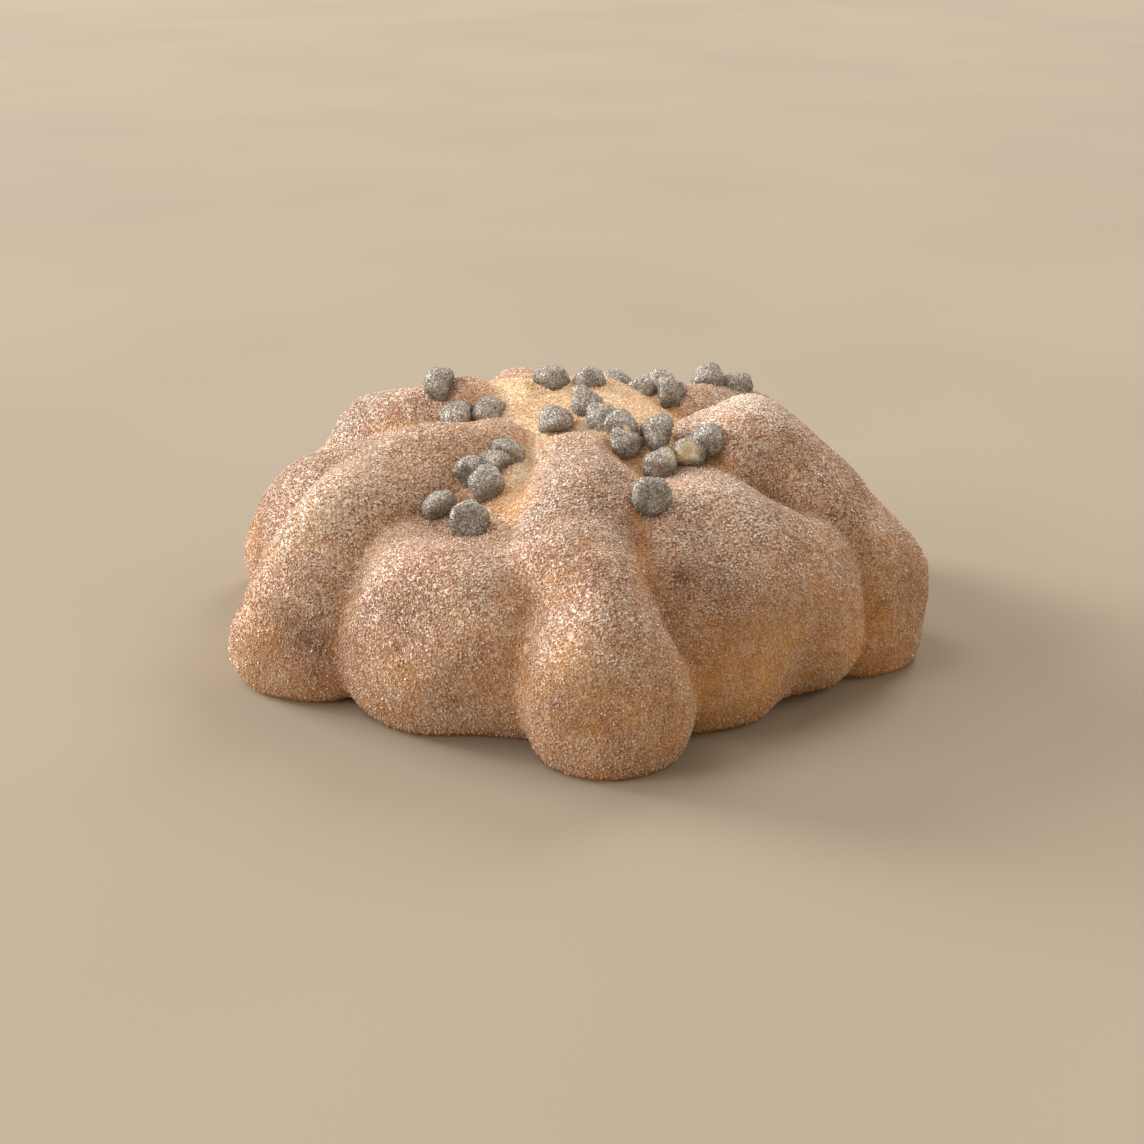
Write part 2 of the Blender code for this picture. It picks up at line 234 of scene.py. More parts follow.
# Where the crust is browned more, or less where negative, than the rule of brown_with_painted_light
# gives. Two of them are painted light: the first is painted shade in the crease between the left
# bone's foot and the front left panel, and the one at -53 is a painted highlight on the left bone's
# lit crest.
BROWNING_AND_LIGHT_PATCHES = (
    # Painted shade: the crease between the left bone's foot and the front left panel, drawn browner
    Patch(-47, 0.058, 0.011, 0.006, 0.3),
    Patch(4, 0.032, 0.04, 0.009, 0.25),
    Patch(-90, 0.057, 0.019, 0.012, 0.2),
    Patch(31, 0.0526, 0.027, 0.008, 0.15),
    Patch(-25, 0.0205, 0.0365, 0.0038, -0.3),
    Patch(-20, 0.027, 0.035, 0.0035, -0.35),
    Patch(-16, 0.0345, 0.0333, 0.0035, -0.3),
    Patch(20, 0.0321, 0.0393, 0.0026, -0.3),
    Patch(18, 0.0376, 0.0371, 0.0026, -0.3),
    Patch(62, 0.06, 0.006, 0.012, -0.22),
    Patch(28, 0.055, 0.006, 0.012, -0.22),
    Patch(0, 0.0634, 0.0196, 0.0045, -0.3),
    Patch(-3, 0.0533, 0.029, 0.004, -0.25),
    Patch(-13, 0.0318, 0.0369, 0.005, -0.25),
    Patch(44, 0.0577, 0.017, 0.012, -0.2),
    Patch(-14, 0.024, 0.0379, 0.003, -0.3),
    Patch(17, 0.0405, 0.0345, 0.0024, -0.2),
    Patch(15, 0.044, 0.0315, 0.0024, -0.2),
    Patch(14, 0.0483, 0.028, 0.0026, -0.2),
    # Painted highlight: the left bone's lit crest, drawn paler
    Patch(-53, 0.05, 0.033, 0.0085, -0.25),
    Patch(22, 0.0499, 0.028, 0.0012, 0.6),
)
# Where more sugar sticks, or less where negative, than the rule of sugar_and_highlight_cover gives.
# The added sugar on the lit crests, tops and left faces is partly real sugar and partly painted
# highlight.
SUGAR_AND_HIGHLIGHT_PATCHES = (
    Patch(77, 0.032, 0.045, 0.008, 0.32),
    Patch(39, 0.0433, 0.0363, 0.009, 0.14),
    Patch(4, 0.063, 0.0226, 0.006, 0.14),
    # Partly painted highlight: the left bone's lit crest, drawn whiter
    Patch(-53, 0.05, 0.033, 0.0085, 0.26),
    Patch(95, 0.033, 0.043, 0.008, 0.22),
    Patch(17, 0.0405, 0.0345, 0.0024, -0.25),
    Patch(16, 0.044, 0.0315, 0.0024, -0.25),
    Patch(15, 0.0483, 0.028, 0.0026, -0.25),
    Patch(16, 0.0535, 0.022, 0.003, -0.2),
    Patch(-8, 0.0555, 0.0185, 0.0035, -0.15),
    Patch(3, 0.05, 0.033, 0.006, -0.1),
    Patch(31, 0.0526, 0.027, 0.009, -0.08),
    Patch(-10, 0.0555, 0.0203, 0.008, 0.14),
    Patch(-38, 0.0532, 0.0218, 0.008, 0.1),
    Patch(-23, 0.0205, 0.0362, 0.005, 0.2),
    Patch(-19, 0.053, 0.003, 0.006, 0.2),
    Patch(-112, 0.045, 0.033, 0.014, 0.12),
    Patch(33, 0.0561, 0.0081, 0.012, -0.1),
    Patch(64, 0.0597, 0.006, 0.011, -0.12),
    Patch(4, 0.0495, 0.0333, 0.0012, -0.5),
    Patch(22, 0.0499, 0.028, 0.0012, -0.3),
)
# Where sugar has gathered in clumps
CLUMP_PATCHES = (
    Patch(-17, 0.0567, 0.017, 0.0007, 1.0),
    Patch(-14, 0.0565, 0.0179, 0.0007, 1.0),
    Patch(-15, 0.0565, 0.0154, 0.0008, 1.0),
    Patch(-28, 0.0562, 0.0137, 0.0008, 1.0),
    Patch(-30, 0.0555, 0.0162, 0.0006, 1.0),
    Patch(-11, 0.0551, 0.0214, 0.0006, 1.0),
    Patch(40, 0.0504, 0.0315, 0.0008, 1.0),
    Patch(40, 0.0489, 0.0326, 0.0007, 1.0),
)
# Where the chips are dusted more, or less where negative
DUST_PATCHES = (
    Patch(-39, 0.035, 0.0345, 0.005, 0.45),
    Patch(-24, 0.0395, 0.0332, 0.0035, -0.15),
    Patch(-10, 0.009, 0.043, 0.008, 0.3),
    Patch(45, 0.019, 0.041, 0.008, 0.25),
)
# Where pale dough is smeared over the chips
CREAM_PATCHES = (
    Patch(46, 0.0292, 0.0403, 0.002, 1.0),
    Patch(40, 0.0268, 0.0385, 0.0019, 1.0),
    Patch(35, 0.0181, 0.0425, 0.0011, 0.8),
    Patch(47, 0.018, 0.0427, 0.0011, 0.8),
    Patch(-168, 0.011, 0.042, 0.0012, 0.8),
)

DUSTING = (0.32, 0.68)  # sugar on a chip's steep sides, and how much more on its top
DUSTED_TURN = (-0.35, 0.75)  # how far a place on a chip faces up: least and most dusted
CREAM_EDGE = (0.35, 0.55)  # of the smears' amounts: where they start and are full

# How brown the crust is baked: 0 is pale dough, 0.5 golden and 1 brown
SIDE_BROWN = 0.86
TOP_BROWN = 0.20  # how much browner the top is than the sides
BROWNING_RISE = (0.008, 0.034)  # heights between which it gets browner
MOST_BROWN = 1.2
BONE_EDGE = 0.0008  # how quickly the crust turns from ball to bone across a crease
CREASE_REACH = 0.0030  # how far the paler dough reaches out of a crease
CREASE_PALENESS = (0.10, 0.40)  # of every crease, and how much more near the crown
CREASE_FADE = (0.022, 0.042)  # out from the middle line: where creases lose most of their paleness
HOLLOW_PALENESS = 0.75
CROWN_HOLLOW = (0.012, 0.030)  # out from the middle line: fully pale, and no longer paler

# How much of the crust's colour is sugar's, partly painted highlight where the crust faces up
LEAST_SUGAR = 0.24
HIGH_SUGAR = 0.06  # how much more there is high on the loaf
# Partly painted highlight: more sugar where the crust faces up, standing in part for the light on
# its tops
UPWARD_SUGAR_AND_HIGHLIGHT = 0.06  # how much more there is where the crust faces up
SUGAR_RISE = (0.006, 0.036)  # heights between which the sugar gets thicker
SUGAR_FOOT = (0.0003, 0.0012)  # heights between which the sugar coat starts

# The materials' unevenness: waves for each metre, and how many finer waves lie over them
BROAD_MOTTLING = (110.0, 3.0)
FINE_MOTTLING = (420.0, 3.0)
PATCHY_SUGAR = ((170.0, 2.0), (650.0, 2.0))
CRUMPLED_SUGAR = (900.0, 3.0)
MOTTLED_CHOCOLATE = (900.0, 4.0)
CLOUDY_FLOOR = (6.0, 2.0)

# What the materials make of their numbers
BROWNING_STOPS = (0.0, 0.5, 1.0, 1.4)  # where the crust is pale, golden, brown and dark
CRYSTAL_EDGE = (0.85, 0.45)  # shares of a cell's width at which its crystal starts and is full
CRYSTAL_TILT = 0.9
COAT_TONES = (0.5, 1.9)  # how white the dullest and the whitest crystals of the coat are
COAT_RELIEF = (0.5, 0.0002)  # strength and depth
COAT_ROUGHNESS = (0.8, 0.45)  # between the crystals, and on them
SPARKLE_RARITY = 2.5
CRYSTAL_ROUGHNESS = 0.25
BLOOM_EDGE = (0.35, 0.65)  # of the unevenness: where the bloom starts and is full
CHIP_TONES = (0.3, 1.0)  # how white the dullest and the whitest crystals drawn on a chip are
DUST_TONES = (0.2, 0.8)  # the same for the loose crystals on it
CHIP_ROUGHNESS = (0.55, 0.4)  # between the crystals, and on them
CLOUD_EDGE = (0.3, 0.7)  # of the unevenness: where the floor's clouds start and are full
CLOUD_DEPTH = 0.06
FLOOR_ROUGHNESS = 0.9
BLACK = (0.0, 0.0, 0.0, 1.0)
MIDDLE_COLOUR = (0.5, 0.5, 0.5)  # of the cells of the coat, each of which has its own
NODE_SPACING = 220


class Grain(NamedTuple):
    """One kind of sugar crystal, and how it is strewn."""

    surface: str  # the piece that it lies on
    quality: str  # and the number there that says where
    sides: int  # 4 gives eight faces, 3 gives six
    smallest: float
    largest: float
    spacing: float
    per_area: float  # most crystals for a square metre
    lift: float  # how far their middles stand off the surface
    seed: int


GRAINS = {
    "sugar_coarse": Grain("crust", "sugar", 3, 0.00036, 0.00058, 0.0004, 1.5e6, 0.0001, 3),
    "sugar_medium": Grain("crust", "sugar", 3, 0.00032, 0.0005, 0.0004, 1.5e6, 0.00006, 5),
    "sugar_fine": Grain("crust", "sugar", 3, 0.00026, 0.00042, 0.0004, 1.5e6, 0.00004, 7),
    "sugar_chips": Grain("chips", "dusting", 3, 0.00022, 0.00042, 0.00022, 2.2e7, 0.00004, 11),
    "sugar_clumps": Grain("crust", "clumps", 4, 0.00035, 0.0006, 0.0002, 2.0e7, 0.0003, 13),
}
CRYSTAL_RINGS = 2  # a crystal has one point at each end, and its sides meet in the middle
CRYSTAL_RADIUS = 0.5  # before it is scaled to its size


class Lamp(NamedTuple):
    """One soft light: where it stands and its share of the key light's power."""

    azimuth: float
    rise: float  # degrees above the floor
    share: float


LAMPS = {
    "key light": Lamp(-118, 21, 1.25),
    "window light": Lamp(-72, 21, 0.42),
    "top light": Lamp(-90, 65, 0.26),
    "back light": Lamp(150, 40, 0.40),
    "side light": Lamp(90, 40, 0.16),
}
FLOOR_REACH = 4.0  # out from its middle
LAMP_DISTANCE = 8.0
LAMP_SIZE = 3.3
LAMP_COLOUR = (1.0, 1.0, 1.0)
SKY_COLOUR = (1.0, 0.83, 0.63)

# The camera, as the picture was taken
CAMERA_PLACE = (-0.00005, -0.3115, 0.1363)
CAMERA_DIP = 22.11  # degrees that it looks down
CAMERA_ROLL = 0.42
SENSOR_WIDTH = 36.0
LENS = 56.41


def direction_of(azimuth):
    """Level unit vector at an azimuth in degrees."""
    angle = math.radians(azimuth)
    return np.array([math.sin(angle), -math.cos(angle), 0.0])


def place_of(patch):
    """The point that a patch names."""
    return direction_of(patch.azimuth) * patch.out + [0, 0, patch.height]


def smooth_step(values, start, end):
    """0 up to start, 1 from end on, and an even curve between."""
    share = np.clip((values - start) / (end - start), 0, 1)
    return share * share * (3 - 2 * share)


# The dough's shape


def dome_point(angle, azimuth, lift):
    """Point at an angle down from the crown on the ball, moved outwards by lift."""
    turn = math.radians(angle)
    power = 2 / BALL_SQUARENESS
    side = 1 if angle < 90 else -1
    reach = BALL_TOP - BALL_WAIST if angle < 90 else BALL_UNDERCUT
    out = math.sin(turn) ** power
    up = abs(math.cos(turn)) ** power
    level = direction_of(azimuth)
    point = level * BALL_RADIUS * out + np.array([0.0, 0.0, BALL_WAIST + side * reach * up])
    normal = level * out ** (BALL_SQUARENESS - 1) / BALL_RADIUS
    normal = normal + np.array([0.0, 0.0, side * up ** (BALL_SQUARENESS - 1) / reach])
    return point + normal / np.linalg.norm(normal) * lift


def eased(position, stations, values):
    """Values at the stations, joined by smooth steps."""
    for index in range(len(stations) - 1):
        if position <= stations[index + 1]:
            share = float(smooth_step(position, stations[index], stations[index + 1]))
            return values[index] * (1 - share) + values[index + 1] * share
    return values[-1]


def bone_rods(bone):
    """The start, the run and the two radii of each tapered rod along one bone."""
    neck_end = bone.neck_angle + bone.neck_span
    stations = (bone.start, bone.knob_angle, bone.neck_angle, neck_end, FOOT_KNOB_ANGLE)
    crown_end = bone.crown_knob * CROWN_END_TAPER
    radii = (crown_end, bone.crown_knob, bone.neck, bone.neck, bone.foot_knob)
    lifts = (bone.crown_lift, bone.crown_lift, bone.neck_lift, bone.neck_lift, bone.foot_lift)
    bend, azimuths = (bone.knob_angle, FOOT_KNOB_ANGLE), (bone.crown_azimuth, bone.foot_azimuth)
    beads = []
    for angle in np.linspace(bone.start, FOOT_KNOB_ANGLE, BONE_BEADS):
        azimuth = eased(angle, bend, azimuths)
        middle = dome_point(angle, azimuth, eased(angle, stations, lifts))
        beads.append((*middle, eased(angle, stations, radii)))
    beads = np.array(beads)
    return np.concatenate([beads[:-1], beads[1:] - beads[:-1]], axis=1)


RODS = np.concatenate([bone_rods(bone) for bone in BONES.values()])


def smooth_union(first, second, blend):
    """The nearer of two distances, with the corner between them filled."""
    overlap = np.maximum(blend - np.abs(first - second), 0.0) / blend
    return np.minimum(first, second) - overlap * overlap * blend / 4


def waves(points, seed, count, lengths):
    """A sum of seeded sine waves of random headings, the same on each run."""
    draw = np.random.default_rng(seed)
    height = np.zeros(len(points))
    for _ in range(count):
        heading = draw.normal(size=3)
        heading /= np.linalg.norm(heading)
        length = draw.uniform(*lengths)
        phase = draw.uniform(0, 2 * math.pi)
        height += np.sin(points @ heading * 2 * math.pi / length + phase)
    return height


def ball_distance(points):
    """Distance outside the plain dough ball, measured along the line from the waist's middle."""
    level = np.hypot(points[:, 0], points[:, 1]) / BALL_RADIUS
    rise = points[:, 2] - BALL_WAIST
    reach = np.where(rise > 0, BALL_TOP - BALL_WAIST, BALL_UNDERCUT)
    power = BALL_SQUARENESS
    size = (level**power + np.abs(rise / reach) ** power) ** (1 / power)
    size = np.maximum(size, SMALLEST_SIZE)
    return np.linalg.norm(points - [0, 0, BALL_WAIST], axis=1) * (1 - 1 / size)


def patched(points, patches):
    """The sum of the patches' amounts at each point."""
    total = np.zeros(len(points))
    for patch in patches:
        away = np.linalg.norm(points - place_of(patch), axis=1) / patch.width
        total += patch.amount * np.exp(-(away**2))
    return total


def ball_and_bones(points):
    """How far a batch of points lies outside the swollen ball, and outside the bones."""
    starts, radii, runs, tapers = RODS[:, :3], RODS[:, 3], RODS[:, 4:7], RODS[:, 7]
    squares = (runs**2).sum(axis=1)
    ahead = points @ runs.T - (starts * runs).sum(axis=1)
    far = (points**2).sum(axis=1)[:, None] - 2 * (points @ starts.T) + (starts**2).sum(axis=1)
    aside = np.sqrt(np.maximum(far - ahead**2 / squares, 0))
    along = ahead / squares + aside * tapers / np.sqrt(squares * (squares - tapers**2))
    along = np.clip(along, 0, 1)
    to_line = np.sqrt(np.maximum(far - along * (2 * ahead - along * squares), 0))
    by_bone = (to_line - radii - along * tapers).reshape(len(points), len(BONES), -1).min(axis=2)
    bones = by_bone[:, 0]
    for other in by_bone.T[1:]:
        bones = smooth_union(bones, other, CREASE_BLEND)
    pinch = PINCH_DEPTH * np.exp(-((to_line.min(axis=1) / PINCH_WIDTH) ** 2))
    swelling = patched(points, SWELLS)
    return ball_distance(points) + pinch - swelling, bones


def dough_distance(points):
    """Roughly how far a batch of points lies outside the whole loaf."""
    ball, bones = ball_and_bones(points)
    lumps = waves(points, LUMP_SEED, LUMP_WAVES, LUMP_LENGTHS) * LUMP_HEIGHT
    return smooth_union(ball, bones, CREASE_BLEND) - lumps


def in_batches(measure, points):
    """A measure of any number of points, taken on one batch after another."""
    batches = [measure(points[at : at + BATCH]) for at in range(0, len(points), BATCH)]
    return np.concatenate(batches, axis=-1)


def dough_distances(points):
    """Roughly how far each of any number of points lies outside the whole loaf."""
    return in_batches(dough_distance, points)


def slope_at(points):
    """How the distance outside the loaf grows along each axis."""
    slope = np.empty_like(points)
    for axis in range(3):
        shift = np.zeros(3)
        shift[axis] = SLOPE_STEP
        slope[:, axis] = dough_distances(points + shift) - dough_distances(points - shift)
    return slope / (2 * SLOPE_STEP)


def settled(points, step):
    """The points moved straight out or in until they lie on the dough's surface."""
    for _ in range(SETTLE_STEPS):
        slope = slope_at(points)
        size = np.maximum((slope**2).sum(axis=1), SMALLEST_SLOPE)
        move = np.clip(dough_distances(points) / size, -step / 2, step / 2)
        points = points - slope * move[:, None]
    return points


def evened(points, faces):
    """Each point moved to the mean of the middles of its faces."""
    middles = points[faces].mean(axis=1)
    total = np.zeros_like(points)
    count = np.zeros((len(points), 1))
    for corner in range(faces.shape[1]):
        np.add.at(total, faces[:, corner], middles)
        np.add.at(count, faces[:, corner], 1)
    return total / count


def faces_across(inside, cell_numbers, axis):
    """One face, of four cells, around each grid line along an axis that crosses the surface."""
    order = (axis, (axis + 1) % 3, (axis + 2) % 3)
    inside = inside.transpose(order)
    numbers = cell_numbers.transpose(order)
    lower_inside = inside[:-1, 1:-1, 1:-1]
    crossing = lower_inside != inside[1:, 1:-1, 1:-1]
    a, b, c = np.nonzero(crossing)
    round_line = ((0, 0), (1, 0), (1, 1), (0, 1))
    faces = np.stack([numbers[a, b + i, c + j] for i, j in round_line], axis=1)
    inwards = ~lower_inside[crossing]
    faces[inwards] = faces[inwards][:, ::-1]
    return faces


def dough_net(step):
    """The dough's surface as four-sided faces, with a vertex in each grid cell that it crosses."""
    across = np.arange(-NET_REACH, NET_REACH, step)
    up = np.arange(NET_BOTTOM, NET_TOP, step)
    grid = np.stack(np.meshgrid(across, across, up, indexing="ij"), axis=-1)
    inside = dough_distances(grid.reshape(-1, 3)).reshape(grid.shape[:3]) < 0
    halves = (slice(None, -1), slice(1, None))
    filled = sum(inside[i, j, k].astype(int) for i in halves for j in halves for k in halves)
    crossed = (filled > 0) & (filled < 8)
    cell_numbers = np.full(crossed.shape, -1)
    cell_numbers[crossed] = np.arange(crossed.sum())
    faces = np.concatenate([faces_across(inside, cell_numbers, axis) for axis in range(3)])
    points = grid[:-1, :-1, :-1][crossed] + step / 2
    for _ in range(EVENING_ROUNDS):
        points = settled(evened(points, faces), step)
    return points, faces


def top_of_dough(x, y):
    """Height at which the dough is met from above."""
    height = SEARCH_START
    for _ in range(SEARCH_STEPS):
        height -= SEARCH_CARE * float(dough_distance(np.array([[x, y, height]]))[0])
    return height


# Meshes, node trees and their parts


def points_of(mesh, kind="co"):
    """A mesh's vertices, or what else they have, as an array."""
    flat = np.empty(len(mesh.vertices) * 3)
    mesh.vertices.foreach_get(kind, flat)
    return flat.reshape(-1, 3)


def upwards(mesh):
    """How far each vertex faces up, from -1 to 1."""
    return points_of(mesh, "normal")[:, 2]


def set_points(mesh, points):
    """Moves a mesh's vertices."""
    mesh.vertices.foreach_set("co", points.astype(np.float32).ravel())
    mesh.update()


def add_quality(mesh, name, values):
    """Stores one number for each vertex, which materials and node trees read by name."""
    quality = mesh.attributes.new(name, "FLOAT", "POINT")
    quality.data.foreach_set("value", values.astype(np.float32))


def new_object(name, data):
    """An object in the scene that holds a mesh, a light or a camera."""
    made = bpy.data.objects.new(name, data)
    bpy.context.scene.collection.objects.link(made)
    return made


def evaluated_mesh(made):
    """The object's mesh with its modifiers carried out."""
    bpy.context.view_layer.update()
    evaluated = made.evaluated_get(bpy.context.evaluated_depsgraph_get())
    return bpy.data.meshes.new_from_object(evaluated)


def remove_object(made):
    """Takes away a helper and its mesh."""
    mesh = made.data
    bpy.data.objects.remove(made)
    bpy.data.meshes.remove(mesh)


def mount(piece):
    """Makes a finished piece part of the loaf."""
    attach(piece, "root")
    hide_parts("loaf")


def add_node(tree, kind, **settings):
    """A node to the right of the last one, with its settings made."""
    made = tree.nodes.new(kind)
    made.location = (len(tree.nodes) * NODE_SPACING, 0)
    for name, value in settings.items():
        setattr(made, name, value)
    return made


def socket(sockets, name):
    """The socket in use that has this name."""
    return next(each for each in sockets if each.name == name and each.enabled)


def put(tree, target, value):
    """Sets an input to a value, or links it to the socket that has the value."""
    if isinstance(value, bpy.types.NodeSocket):
        tree.links.new(value, target)
    else:
        target.default_value = value


def feed(tree, node, **values):
    """Sets or links a node's inputs, named with _ for a space."""
    for name, value in values.items():
        put(tree, socket(node.inputs, name.replace("_", " ")), value)


def arithmetic(tree, operation, first, second=0.0, clamp=False):
    """One sum on two numbers, and its result's socket."""
    made = add_node(tree, "ShaderNodeMath", operation=operation, use_clamp=clamp)
    put(tree, made.inputs[0], first)
    put(tree, made.inputs[1], second)
    return made.outputs[0]


def vector_sum(tree, operation, first, second=None):
    """One sum on vectors, or on a vector and its scale, and its result's socket."""
    made = add_node(tree, "ShaderNodeVectorMath", operation=operation)
    put(tree, made.inputs[0], first)
    if second is not None:
        put(tree, made.inputs["Scale"] if operation == "SCALE" else made.inputs[1], second)
    return made.outputs["Vector"]


def ramped(tree, value, start, end, low=0.0, high=1.0, kind="LINEAR"):
    """What is low up to start and high from end on, and goes evenly from one to the other."""
    made = add_node(tree, "ShaderNodeMapRange", interpolation_type=kind)
    feed(tree, made, Value=value, From_Min=start, From_Max=end, To_Min=low, To_Max=high)
    return made.outputs[0]


def stepped(tree, value, start, end, low=0.0, high=1.0):
    """The same with soft ends."""
    return ramped(tree, value, start, end, low, high, "SMOOTHSTEP")


def between(tree, share, ends):
    """What is the first end where the share is 0, and the second where it is 1."""
    return ramped(tree, share, 0.0, 1.0, *ends)


def mixed(tree, share, first, second):
    """A mix of two colours."""
    made = add_node(tree, "ShaderNodeMix", data_type="RGBA")
    feed(tree, made, Factor=share, A=first, B=second)
    return socket(made.outputs, "Result")


def noise(tree, place, scale, detail):
    """Even noise around 0.5."""
    made = add_node(tree, "ShaderNodeTexNoise")
    feed(tree, made, Vector=place, Scale=scale, Detail=detail)
    return socket(made.outputs, "Fac")


def swing(tree, place, pattern, amount):
    """Noise around 0, times an amount."""
    around = arithmetic(tree, "SUBTRACT", noise(tree, place, *pattern), 0.5)
    return arithmetic(tree, "MULTIPLY", around, amount)


def quality(tree, name):
    """One of a piece's own numbers, as add_quality or the strewing stored it."""
    made = add_node(tree, "ShaderNodeAttribute", attribute_type="GEOMETRY", attribute_name=name)
    return socket(made.outputs, "Fac")


def object_place(tree):
    """The place on the piece, in its own coordinates."""
    return socket(add_node(tree, "ShaderNodeTexCoord").outputs, "Object")


def new_socket(tree, label, direction, kind):
    """A socket of a tree's own, such as one of the kind Float."""
    return tree.interface.new_socket(name=label, in_out=direction, socket_type="NodeSocket" + kind)


def new_group(name, inputs, outputs):
    """An empty shader group with its sockets, and its input and output nodes."""
    group = bpy.data.node_groups.new(name, "ShaderNodeTree")
    for label, kind, value in inputs:
        made = new_socket(group, label, "INPUT", kind)
        if value is not None:
            made.default_value = value
    for label, kind in outputs:
        new_socket(group, label, "OUTPUT", kind)
    return group, add_node(group, "NodeGroupInput"), add_node(group, "NodeGroupOutput")


def place_group(tree, name, **values):
    """A shared group set in a material, with its own values."""
    made = add_node(tree, "ShaderNodeGroup", node_tree=bpy.data.node_groups[name])
    feed(tree, made, **values)
    return made


def new_material(name):
    """A material with its shader, and its tree."""
    material = bpy.data.materials.new(name)
    material.use_nodes = True
    return material, material.node_tree, material.node_tree.nodes["Principled BSDF"]


def opaque(colour):
    """A colour with nothing showing through."""
    return (*colour, 1.0)


# Shared effects


def build_baked_colour(look):
    """Group: the crust's colour under its sugar, from pale dough through gold to brown."""
    inputs = [
        ("Place", "Vector", None),
        ("Browning", "Float", 0.5),
        ("Pale", "Color", opaque(look.pale)),
        ("Gold", "Color", opaque(look.gold)),
        ("Brown", "Color", opaque(look.brown)),
        ("Dark", "Color", opaque(look.dark)),
    ]
    group, given, result = new_group("Baked Colour", inputs, [("Colour", "Color")])
    place = given.outputs["Place"]
    broad = swing(group, place, BROAD_MOTTLING, look.mottling)
    fine = swing(group, place, FINE_MOTTLING, look.mottling / 2)
    baked = arithmetic(group, "ADD", broad, fine)
    baked = arithmetic(group, "ADD", given.outputs["Browning"], baked)
    colour = given.outputs["Pale"]
    for start, end, name in zip(BROWNING_STOPS, BROWNING_STOPS[1:], ("Gold", "Brown", "Dark")):
        colour = mixed(group, ramped(group, baked, start, end), colour, given.outputs[name])
    group.links.new(colour, result.inputs["Colour"])


def build_sugar_coat():
    """Group: fine sugar stuck to a surface. Each crystal has its own tone and tilt."""
    inputs = [
        ("Place", "Vector", None),
        ("Grain", "Float", 0.0005),
        ("Cover", "Float", 0.5),
        ("Tilt", "Float", 0.5),
    ]
    outputs = [("Sugar", "Float"), ("Tone", "Float"), ("Normal", "Vector")]
    group, given, result = new_group("Sugar Coat", inputs, outputs)
    scale = arithmetic(group, "DIVIDE", 1.0, given.outputs["Grain"])
    cells = add_node(group, "ShaderNodeTexVoronoi", feature="F1")
    feed(group, cells, Vector=given.outputs["Place"], Scale=scale, Randomness=1.0)
    split = add_node(group, "ShaderNodeSeparateColor")
    group.links.new(cells.outputs["Color"], split.inputs["Color"])
    uncovered = arithmetic(group, "SUBTRACT", 1.0, given.outputs["Cover"])
    there = arithmetic(group, "GREATER_THAN", split.outputs["Red"], uncovered)
    crystal = stepped(group, cells.outputs["Distance"], *CRYSTAL_EDGE)
    sugar = arithmetic(group, "MULTIPLY", there, crystal)
    group.links.new(sugar, result.inputs["Sugar"])
    group.links.new(split.outputs["Green"], result.inputs["Tone"])
    strength = arithmetic(group, "MULTIPLY", sugar, given.outputs["Tilt"])
    tilt = vector_sum(group, "SUBTRACT", cells.outputs["Color"], MIDDLE_COLOUR)
    tilt = vector_sum(group, "SCALE", tilt, strength)
    normal = add_node(group, "ShaderNodeNewGeometry").outputs["Normal"]
    normal = vector_sum(group, "NORMALIZE", vector_sum(group, "ADD", normal, tilt))
    group.links.new(normal, result.inputs["Normal"])


def build_uneven_cover():
    """Group: how much of the colour is sugar's, patchy as sugar sticks."""
    inputs = [
        ("Place", "Vector", None),
        ("Cover", "Float", 0.25),
        ("Patchiness", "Float", 0.5),
    ]
    group, given, result = new_group("Uneven Cover", inputs, [("Cover", "Float")])
    cover = given.outputs["Cover"]
    for pattern in PATCHY_SUGAR:
        patchy = swing(group, given.outputs["Place"], pattern, given.outputs["Patchiness"])
        cover = arithmetic(group, "ADD", cover, patchy)
    group.links.new(arithmetic(group, "ADD", cover, 0.0, clamp=True), result.inputs["Cover"])


def sugar_coat(tree, place, grain, cover):
    """The finest crystals at a place, drawn and not strewn."""
    return place_group(tree, "Sugar Coat", Place=place, Grain=grain, Cover=cover, Tilt=CRYSTAL_TILT)


def uneven_cover(tree, place, patchiness):
    """The sugar's share of the crust's colour at a place, partly painted highlight on its lit
    places.
    """
    made = place_group(tree, "Uneven Cover", Place=place, Patchiness=patchiness)
    feed(tree, made, Cover=quality(tree, "cover"))
    return made.outputs["Cover"]


def baked_colour(tree, place):
    """The crust's colour at a place, for the crust and for the sugar that it shows through."""
    made = place_group(tree, "Baked Colour", Place=place, Browning=quality(tree, "browning"))
    return made.outputs["Colour"]


# Materials


def crust_material(look):
    """Baked dough that shows between the crystals of its sugar coat."""
    material, tree, shader = new_material("Baked Crust")
    place = object_place(tree)
    coat = sugar_coat(tree, place, look.coat_grain, look.coat_cover)
    sugar = arithmetic(tree, "MULTIPLY", coat.outputs["Sugar"], quality(tree, "sugar"))
    # Painted shade: the crust is drawn darker towards black between the crystals, where they would
    # shade it
    gap_shading = between(tree, sugar, (look.painted_gap_shade, 0.0))
    colour = mixed(tree, gap_shading, baked_colour(tree, place), BLACK)
    tone = between(tree, coat.outputs["Tone"], COAT_TONES)
    shown = arithmetic(tree, "MULTIPLY", sugar, tone)
    # The cover is partly painted highlight on the lit places
    cover = uneven_cover(tree, place, look.patchiness)
    shown = arithmetic(tree, "MULTIPLY", shown, cover, clamp=True)
    colour = mixed(tree, shown, colour, opaque(look.sugar))
    relief = add_node(tree, "ShaderNodeBump")
    height = arithmetic(tree, "ADD", coat.outputs["Sugar"], noise(tree, place, *CRUMPLED_SUGAR))
    feed(tree, relief, Height=height, Normal=coat.outputs["Normal"])
    feed(tree, relief, Strength=COAT_RELIEF[0], Distance=COAT_RELIEF[1])
    roughness = between(tree, coat.outputs["Sugar"], COAT_ROUGHNESS)
    feed(tree, shader, Base_Color=colour, Roughness=roughness, Normal=relief.outputs["Normal"])
    return material


